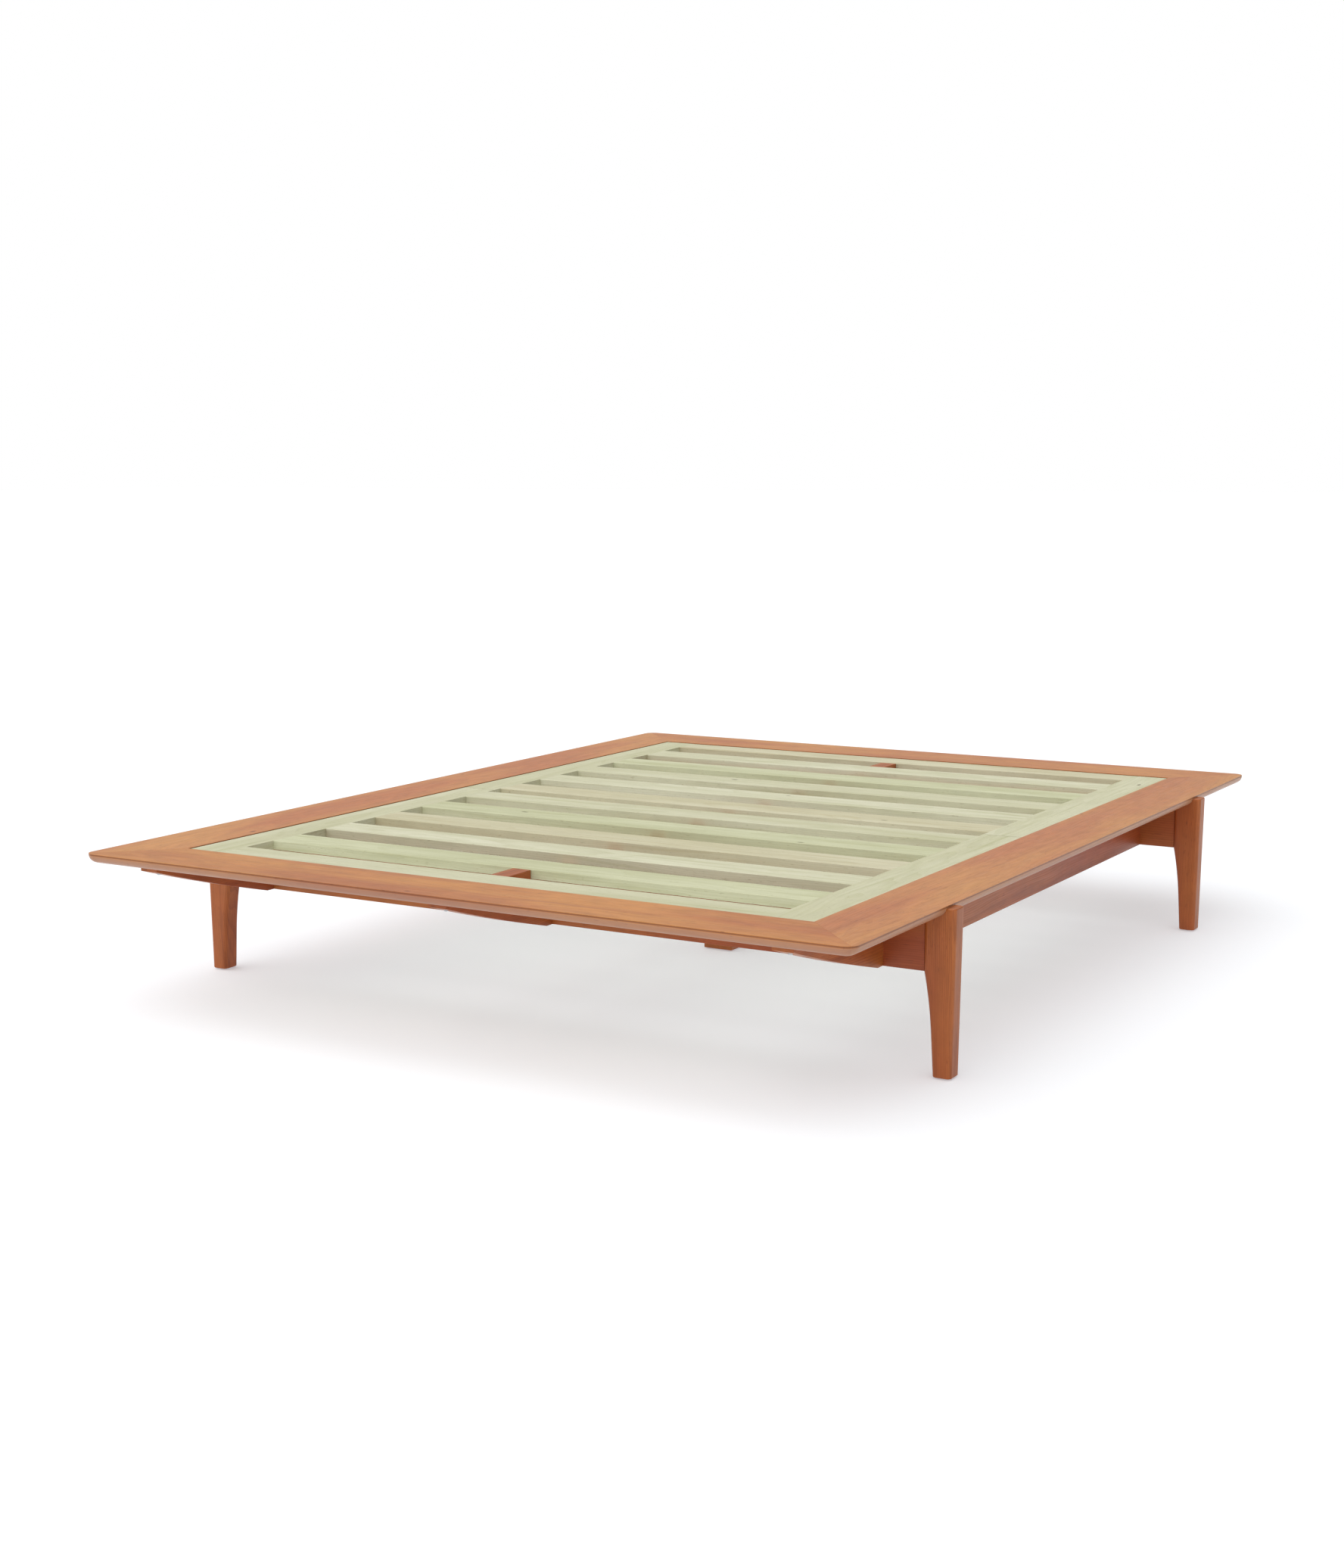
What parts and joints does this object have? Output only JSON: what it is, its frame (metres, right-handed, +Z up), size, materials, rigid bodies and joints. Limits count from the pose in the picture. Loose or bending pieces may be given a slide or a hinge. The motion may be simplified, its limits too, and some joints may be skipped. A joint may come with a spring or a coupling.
{
  "type": "platform bed frame",
  "caption": "Low platform bed frame: mitred cherry top with under-bevelled edge, pale slat deck, cross-lapped rails and tapered notched legs.",
  "frame": {"origin": "on the floor under the middle of the bed", "axes": "X is the bed's width, the foot end is at -Y and the head end at +Y, +Z is up"},
  "size_m": [1.8798, 2.35, 0.34],
  "materials": {
    "cherry_frame": "satin oil and lacquer on solid cherry",
    "cherry_base": "satin oil and lacquer on darker solid cherry",
    "poplar_deck": "planed unfinished poplar",
    "beech_dowel": "plain turned beech",
    "zinc_steel": "zinc plated",
    "nylon_glide": "matt moulded nylon"
  },
  "bodies": {
    "root": {"foot_frame_board": "cherry_frame", "head_frame_board": "cherry_frame", "left_frame_board": "cherry_frame", "right_frame_board": "cherry_frame", "foot_left_leg": "cherry_base", "foot_right_leg": "cherry_base", "head_left_leg": "cherry_base", "head_right_leg": "cherry_base", "foot_cross_beam": "cherry_base", "head_cross_beam": "cherry_base", "left_long_rail": "cherry_base", "centre_long_rail": "cherry_base", "right_long_rail": "cherry_base", "foot_locating_block": "cherry_base", "head_locating_block": "cherry_base", "centre_leg": "cherry_base", "foot_left_stile": "poplar_deck", "foot_right_stile": "poplar_deck", "head_left_stile": "poplar_deck", "head_right_stile": "poplar_deck", "slat_01": "poplar_deck", "slat_02": "poplar_deck", "slat_03": "poplar_deck", "slat_04": "poplar_deck", "slat_05": "poplar_deck", "slat_06": "poplar_deck", "slat_07": "poplar_deck", "slat_08": "poplar_deck", "slat_09": "poplar_deck", "slat_10": "poplar_deck", "slat_11": "poplar_deck", "slat_12": "poplar_deck", "mitre_dowels": "beech_dowel", "block_dowels": "beech_dowel", "mitre_draw_bolts": "zinc_steel", "mitre_draw_washers": "zinc_steel", "mitre_draw_nuts": "zinc_steel", "frame_screws": "zinc_steel", "centre_leg_bolt": "zinc_steel", "centre_leg_washers": "zinc_steel", "centre_leg_nut": "zinc_steel", "leg_glides": "nylon_glide", "centre_leg_glide": "nylon_glide"}
  },
  "joints": []
}
